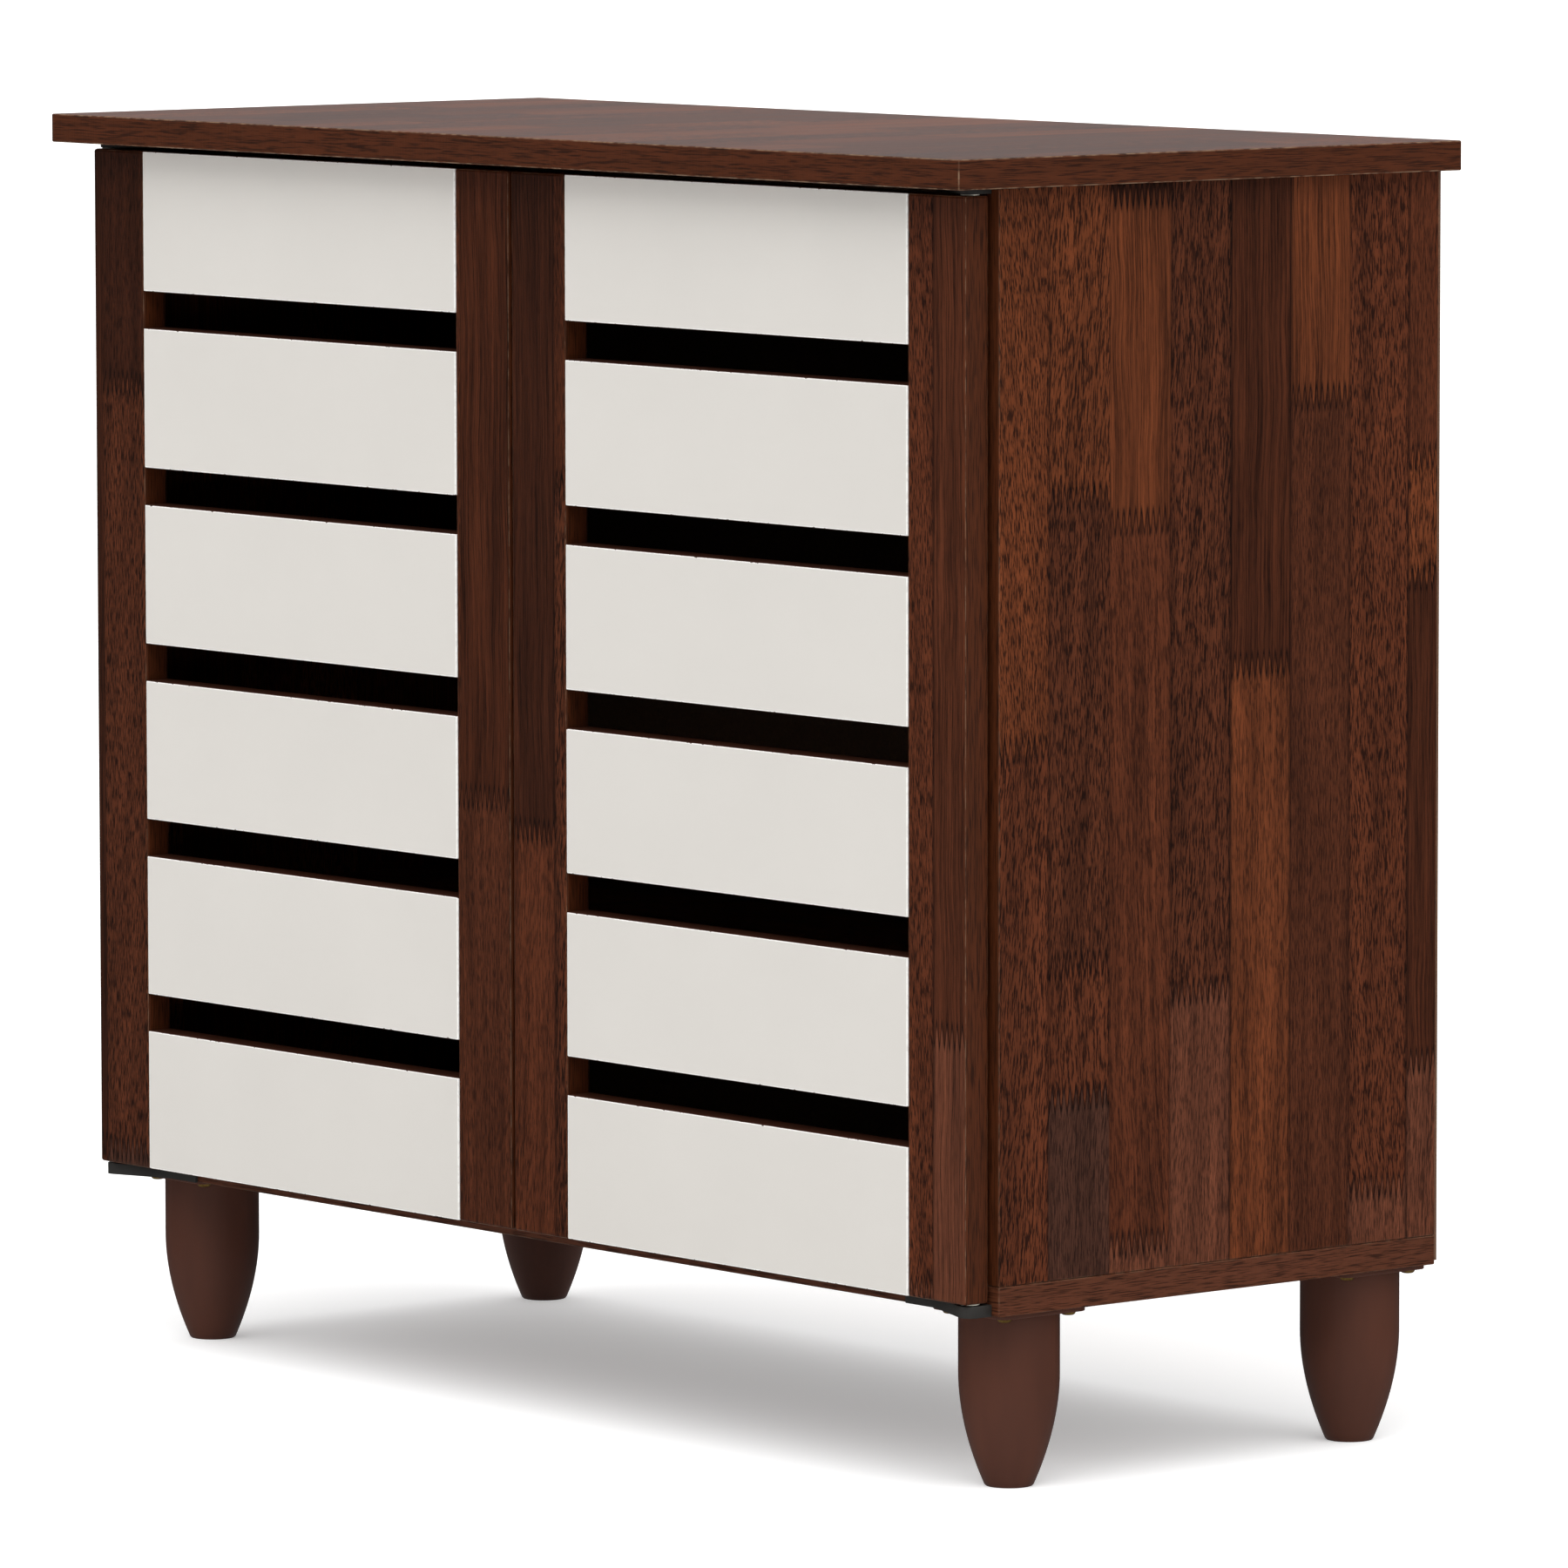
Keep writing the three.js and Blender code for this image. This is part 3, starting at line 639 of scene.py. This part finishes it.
def turned_leg(material, length, radius, stud_top):
    """One leg on the origin: a straight barrel that draws in to a small hollow foot."""
    deselect_all()
    barrel = length - LEG_TAPER_HEIGHT
    bpy.ops.mesh.primitive_cylinder_add(
        vertices=LEG_FACETS, radius=radius, depth=barrel, location=(0, 0, LEG_TAPER_HEIGHT + barrel / 2),
    )
    leg = bpy.context.object
    bpy.ops.object.transform_apply(location=True, rotation=False, scale=False)
    select_faces(leg, lambda face: face.normal.z < -0.9)
    current = radius
    step = LEG_TAPER_HEIGHT / LEG_TAPER_RINGS
    for ring in range(LEG_TAPER_RINGS - 1, -1, -1):
        height = ring * step
        drop = step if ring else step - FOOT_EDGE
        bpy.ops.mesh.extrude_region_move(TRANSFORM_OT_translate={"value": (0, 0, -drop)})
        target = leg_radius(radius, height if ring else FOOT_EDGE)
        bpy.ops.transform.resize(value=(target / current, target / current, 1), center_override=(0, 0, 0))
        current = target
    bpy.ops.mesh.extrude_region_move(TRANSFORM_OT_translate={"value": (0, 0, -FOOT_EDGE)})
    target = leg_radius(radius, 0) - FOOT_EDGE / 2
    bpy.ops.transform.resize(value=(target / current, target / current, 1), center_override=(0, 0, 0))
    bpy.ops.mesh.inset(thickness=FOOT_RIM)
    bpy.ops.mesh.extrude_region_move(TRANSFORM_OT_translate={"value": (0, 0, FOOT_RECESS)})
    select_faces(leg, lambda face: face.normal.z > 0.9 and face.center.z > length - MM)
    bpy.ops.mesh.inset(thickness=LEG_SHOULDER)
    bpy.ops.mesh.inset(thickness=radius - LEG_SHOULDER - LEG_STUD_RADIUS)
    bpy.ops.mesh.extrude_region_move(TRANSFORM_OT_translate={"value": (0, 0, stud_top - length)})
    return close_piece(leg, "turned_leg", material)


# ---------------------------------------------------------------- screws and nails

SCREW_FACETS = 24
CROSS_WIDTH = 0.9 * MM
CROSS_DEPTH = 1.1 * MM


def pan_head_screw(material, radius, height):
    """The head of a cross-recess screw on the origin, facing down."""
    deselect_all()
    bpy.ops.mesh.primitive_cylinder_add(
        vertices=SCREW_FACETS, radius=radius, depth=height, location=(0, 0, -height / 2),
    )
    head = bpy.context.object
    bpy.ops.object.transform_apply(location=True, rotation=False, scale=False)
    select_edges(head, lambda a, b: max(a.z, b.z) < -height * 0.9)
    bpy.ops.mesh.bevel(offset=height * 0.75, segments=4, affect="EDGES")
    bpy.ops.object.mode_set(mode="OBJECT")
    for turn in (0, 90):
        deselect_all()
        bpy.ops.mesh.primitive_cube_add(
            size=1, location=(0, 0, -height), rotation=(0, 0, math.radians(turn)),
            scale=(radius * 1.15, CROSS_WIDTH, min(CROSS_DEPTH, height) * 1.4),
        )
        cutter = bpy.context.object
        recess = head.modifiers.new("recess", "BOOLEAN")
        recess.operation = "DIFFERENCE"
        recess.solver = "EXACT"
        recess.object = cutter
        bpy.context.view_layer.objects.active = head
        bpy.ops.object.modifier_apply(modifier=recess.name)
        bpy.data.objects.remove(cutter)
    deselect_all()
    bpy.context.view_layer.objects.active = head
    head.select_set(True)
    return close_piece(head, "pan_head_screw", material, smooth_angle=30)


def flat_head(material, name, radius, height):
    """A flat round head on the origin, facing down, with a softened rim."""
    deselect_all()
    bpy.ops.mesh.primitive_cylinder_add(
        vertices=SCREW_FACETS, radius=radius, depth=height, location=(0, 0, -height / 2),
    )
    head = bpy.context.object
    bpy.ops.object.transform_apply(location=True, rotation=False, scale=False)
    select_edges(head, lambda a, b: max(a.z, b.z) < -height * 0.9)
    bpy.ops.mesh.bevel(offset=height * 0.6, segments=3, affect="EDGES")
    select_faces(head, lambda face: face.normal.z < -0.9)
    bpy.ops.mesh.inset(thickness=radius * 0.3)
    bpy.ops.mesh.extrude_region_move(TRANSFORM_OT_translate={"value": (0, 0, height * 0.25)})
    return close_piece(head, name, material)


FACING_FRONT = Matrix.Rotation(math.radians(-90), 4, "X")
FACING_BACK = Matrix.Rotation(math.radians(90), 4, "X")


def discard(*pieces):
    for piece in pieces:
        bpy.data.objects.remove(piece)


# ---------------------------------------------------------------- assembly


def build_legs(plastic):
    low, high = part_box("leg_front_right")
    plate_low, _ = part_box("leg_plate_front_right")
    model = turned_leg(plastic, plate_low[2], (high[0] - low[0]) / 2, high[2])
    for end in ENDS:
        for side in SIDES:
            name = f"leg_{end}_{side}"
            low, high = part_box(name)
            centre = (Vector(low) + Vector(high)) / 2
            place = Matrix.Translation((centre.x, centre.y, 0))
            piece = placed_copy(model, f"{name}_turned", place, "carcass")
            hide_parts(name)
    discard(model)


LEG_SCREW_INSET = 8 * MM


def build_leg_screws(screw):
    for end in ENDS:
        for side in SIDES:
            low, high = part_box(f"leg_plate_{end}_{side}")
            for x_name, x in (("a", low[0] + LEG_SCREW_INSET), ("b", high[0] - LEG_SCREW_INSET)):
                for y_name, y in (("a", low[1] + LEG_SCREW_INSET), ("b", high[1] - LEG_SCREW_INSET)):
                    place = Matrix.Translation((x, y, low[2]))
                    name = f"leg_screw_{end}_{side}_{x_name}{y_name}"
                    placed_copy(screw, name, place, "carcass")


NAIL_PITCH = 96 * MM
NAIL_EDGE = 8 * MM


def build_back_nails(nail):
    low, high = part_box("back_panel")
    columns = round((high[0] - low[0] - 2 * NAIL_EDGE) / NAIL_PITCH)
    rows = round((high[2] - low[2] - 2 * NAIL_EDGE) / NAIL_PITCH)
    spots = []
    for column in range(columns + 1):
        x = low[0] + NAIL_EDGE + (high[0] - low[0] - 2 * NAIL_EDGE) * column / columns
        spots += [(x, low[2] + NAIL_EDGE), (x, high[2] - NAIL_EDGE)]
    for row in range(1, rows):
        z = low[2] + NAIL_EDGE + (high[2] - low[2] - 2 * NAIL_EDGE) * row / rows
        spots += [(low[0] + NAIL_EDGE, z), (high[0] - NAIL_EDGE, z)]
    for number, (x, z) in enumerate(spots, start=1):
        place = Matrix.Translation((x, high[1], z)) @ FACING_BACK
        placed_copy(nail, f"back_nail_{number}", place, "carcass")


FLANGE_SCREW_INSETS = (9 * MM, 44 * MM)  # from the inner end of a lower plate
FLANGE_SCREW_DROP = 4.5 * MM  # below the top of the plate
UPPER_SCREW_INSETS = (8 * MM, 23 * MM)  # from the inner edge of an upper plate
UPPER_SCREW_SETBACK = 12 * MM  # from the back edge of the plate
FLANGE = 1.8 * MM


def build_hinges(plastic, pan_screw, sunk_screw):
    """Rounds the hinge plates and fixes each with two screws."""
    for side, sign in SIDES.items():
        for level in ("bottom", "top"):
            softened_copy(f"hinge_plate_{level}_{side}", 0.35 * MM, plastic, "carcass")
        low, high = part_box(f"hinge_plate_bottom_{side}")
        inner = low[0] if sign > 0 else high[0]
        for number, inset in enumerate(FLANGE_SCREW_INSETS, start=1):
            spot = (inner + sign * inset, high[1] - FLANGE, high[2] - FLANGE_SCREW_DROP)
            place = Matrix.Translation(spot) @ FACING_FRONT
            placed_copy(sunk_screw, f"hinge_screw_bottom_{side}_{number}", place, "carcass")
        low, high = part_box(f"hinge_plate_top_{side}")
        inner = low[0] if sign > 0 else high[0]
        for number, inset in enumerate(UPPER_SCREW_INSETS, start=1):
            spot = (inner + sign * inset, high[1] - UPPER_SCREW_SETBACK, low[2])
            placed_copy(
                pan_screw, f"hinge_screw_top_{side}_{number}", Matrix.Translation(spot), "carcass",
            )


POLE_LENGTH = 12 * MM
POLE_HEIGHT = 1.6 * MM
POLE_THICKNESS = 0.8 * MM
POLE_PROUD = 0.12 * MM
POLE_SPREAD = 3.2 * MM  # each pole's centre from the middle of the magnet


def build_catch(plastic, steel, screw):
    """Rounds the catch's housing and adds its steel pole strips and the screws of the strikes."""
    softened_copy("magnetic_catch", 0.6 * MM, plastic, "carcass")
    catch_low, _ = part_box("magnetic_catch")
    deselect_all()
    bpy.ops.mesh.primitive_cube_add(size=1, scale=(POLE_LENGTH, POLE_THICKNESS, POLE_HEIGHT))
    pole = bpy.context.object
    bpy.ops.object.transform_apply(location=False, rotation=False, scale=True)
    bpy.ops.object.mode_set(mode="EDIT")
    bpy.ops.mesh.select_all(action="SELECT")
    bpy.ops.mesh.bevel(offset=0.2 * MM, segments=2, affect="EDGES")
    close_piece(pole, "pole_strip", steel)
    for side in SIDES:
        low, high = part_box(f"door_{side}_strike")
        centre = (Vector(low) + Vector(high)) / 2
        for level, rise in (("lower", -POLE_SPREAD), ("upper", POLE_SPREAD)):
            spot = (centre.x, catch_low[1] - POLE_PROUD + POLE_THICKNESS / 2, centre.z + rise)
            placed_copy(pole, f"catch_pole_{side}_{level}", Matrix.Translation(spot), "carcass")
        place = Matrix.Translation((centre.x, high[1], centre.z)) @ FACING_BACK
        placed_copy(screw, f"door_{side}_strike_screw", place, f"door_{side}")
    discard(pole)


def build_leg_plates(plastic):
    for end in ENDS:
        for side in SIDES:
            softened_copy(f"leg_plate_{end}_{side}", 0.4 * MM, plastic, "carcass")


FLOOR_SIZE = 160
FLOOR_GLOW = 0.32
BACKDROP = (-0.77, 0.64, 0)  # towards the bright wall behind the cabinet
LAMPS = (  # name, azimuth, elevation and spread in degrees, strength
    ("key_light", 15, 60, 60, 1.25),
    ("fill_light", 85, 52, 70, 0.95),
)


def build_floor():
    """A seamless sheet of matt white studio paper."""
    bpy.ops.mesh.primitive_plane_add(size=FLOOR_SIZE, location=(0, 0, -0.02 * MM))
    floor = bpy.context.object
    floor.name = "studio_floor"
    material, tree = new_material("studio_paper")
    place = node(tree, "ShaderNodeTexCoord", out=3)
    tooth = node(tree, NOISE, {"Vector": place, "Scale": 2.0, "Detail": 2.0})
    colour = tint(tree, tooth, linear("#f4f4f4"), linear("#f8f8f8"))
    seen = node(tree, "ShaderNodeLightPath")
    glow = node(tree, MATHS, {0: seen, 1: FLOOR_GLOW}, operation="MULTIPLY")
    finish_material(tree, {
        "Base Color": colour, "Roughness": 0.9, "Specular IOR Level": 0.1,
        "Emission Color": (1, 1, 1, 1), "Emission Strength": glow,
    })
    floor.data.materials.append(material)
    floor.visible_glossy = False


def build_lights():
    """A broad soft light overhead that fades towards the walls, a bright wall, and two soft lamps."""
    world = bpy.data.worlds.new("studio")
    world.use_nodes = True
    tree = world.node_tree
    tree.nodes.clear()
    direction = node(tree, "ShaderNodeTexCoord")
    height = node(tree, "ShaderNodeSeparateXYZ", {0: direction}, out=2)
    overhead = node(tree, RANGE, {0: height, 1: -0.05, 2: 0.65, 3: 0.0, 4: 0.85})
    behind = node(tree, VECTOR, {0: direction, 1: BACKDROP}, out=1, operation="DOT_PRODUCT")
    backdrop = node(tree, RANGE, {0: behind, 1: 0.5, 2: 1.0, 3: 0.0, 4: 0.75})
    above = node(tree, RANGE, {0: height, 1: -0.02, 2: 0.02})
    backdrop = node(tree, MATHS, {0: backdrop, 1: above}, operation="MULTIPLY")
    below = node(tree, RANGE, {0: height, 1: -0.4, 2: -0.05, 3: 0.2, 4: 0.0})
    strength = node(tree, MATHS, {0: overhead, 1: backdrop}, operation="MAXIMUM")
    strength = node(tree, MATHS, {0: strength, 1: below}, operation="MAXIMUM")
    seen = node(tree, "ShaderNodeLightPath")
    strength = node(tree, MATHS, {0: strength, 1: seen}, operation="MAXIMUM")
    background = node(tree, "ShaderNodeBackground", {"Strength": strength})
    output = tree.nodes.new("ShaderNodeOutputWorld")
    tree.links.new(background, output.inputs["Surface"])
    background.node.inputs["Color"].default_value = (1, 1, 1, 1)
    bpy.context.scene.world = world
    for name, azimuth, elevation, spread, strength in LAMPS:
        data = bpy.data.lights.new(name, "SUN")
        data.energy = strength
        data.angle = math.radians(spread)
        lamp = bpy.data.objects.new(name, data)
        bpy.context.scene.collection.objects.link(lamp)
        a, e = math.radians(azimuth), math.radians(elevation)
        towards = Vector((math.sin(a) * math.cos(e), -math.cos(a) * math.cos(e), math.sin(e)))
        lamp.rotation_mode = "QUATERNION"
        lamp.rotation_quaternion = towards.to_track_quat("Z", "Y")
    bpy.context.scene.view_settings.view_transform = "Standard"


make_camera()
build_floor()
build_lights()
dress_boards()
dress_slats()
leg_plastic = moulded_plastic("moulded_leg_plastic", "#4e2c20", "#573123", 0.38, 0.6)
hinge_plastic = moulded_plastic("moulded_hinge_plastic", "#2a2826", "#34322f", 0.55, 0.4)
nylon = moulded_plastic("natural_nylon", "#cfcabb", "#dedaca", 0.45, 0.5)
zinc = plated_steel("zinc_plated_steel", "#9a9892", "#c4c2bc", 0.3)
yellow_zinc = plated_steel("yellow_zinc_plated_steel", "#8a6a35", "#c9a55e", 0.28)
dress(["back_panel"], hardboard())
dress([f"leg_plate_{end}_{side}" for end in ENDS for side in SIDES], leg_plastic)
dress(["magnetic_catch"], hinge_plastic)
dress([f"door_{side}_bush_{level}" for side in SIDES for level in ("bottom", "top")], nylon)
dress([f"door_{side}_strike" for side in SIDES], zinc)
dress([f"hinge_pin_{level}_{side}" for side in SIDES for level in ("bottom", "top")], zinc)
dress([f"shelf_peg_{s}_{e}_{d}" for s in SHELVES for e in ENDS for d in SIDES], zinc)

build_legs(leg_plastic)
leg_screw = pan_head_screw(yellow_zinc, 4 * MM, 2.4 * MM)
build_leg_screws(leg_screw)
back_nail = flat_head(zinc, "flat_nail", 2.2 * MM, 0.6 * MM)
build_back_nails(back_nail)
hinge_screw = pan_head_screw(zinc, 3.4 * MM, 1.4 * MM)
sunk_screw = flat_head(zinc, "sunk_screw", 3.2 * MM, 0.3 * MM)
strike_screw = flat_head(zinc, "strike_screw", 2.6 * MM, 0.14 * MM)
build_hinges(hinge_plastic, hinge_screw, sunk_screw)
build_catch(hinge_plastic, zinc, strike_screw)
build_leg_plates(leg_plastic)
discard(leg_screw, back_nail, hinge_screw, sunk_screw, strike_screw)
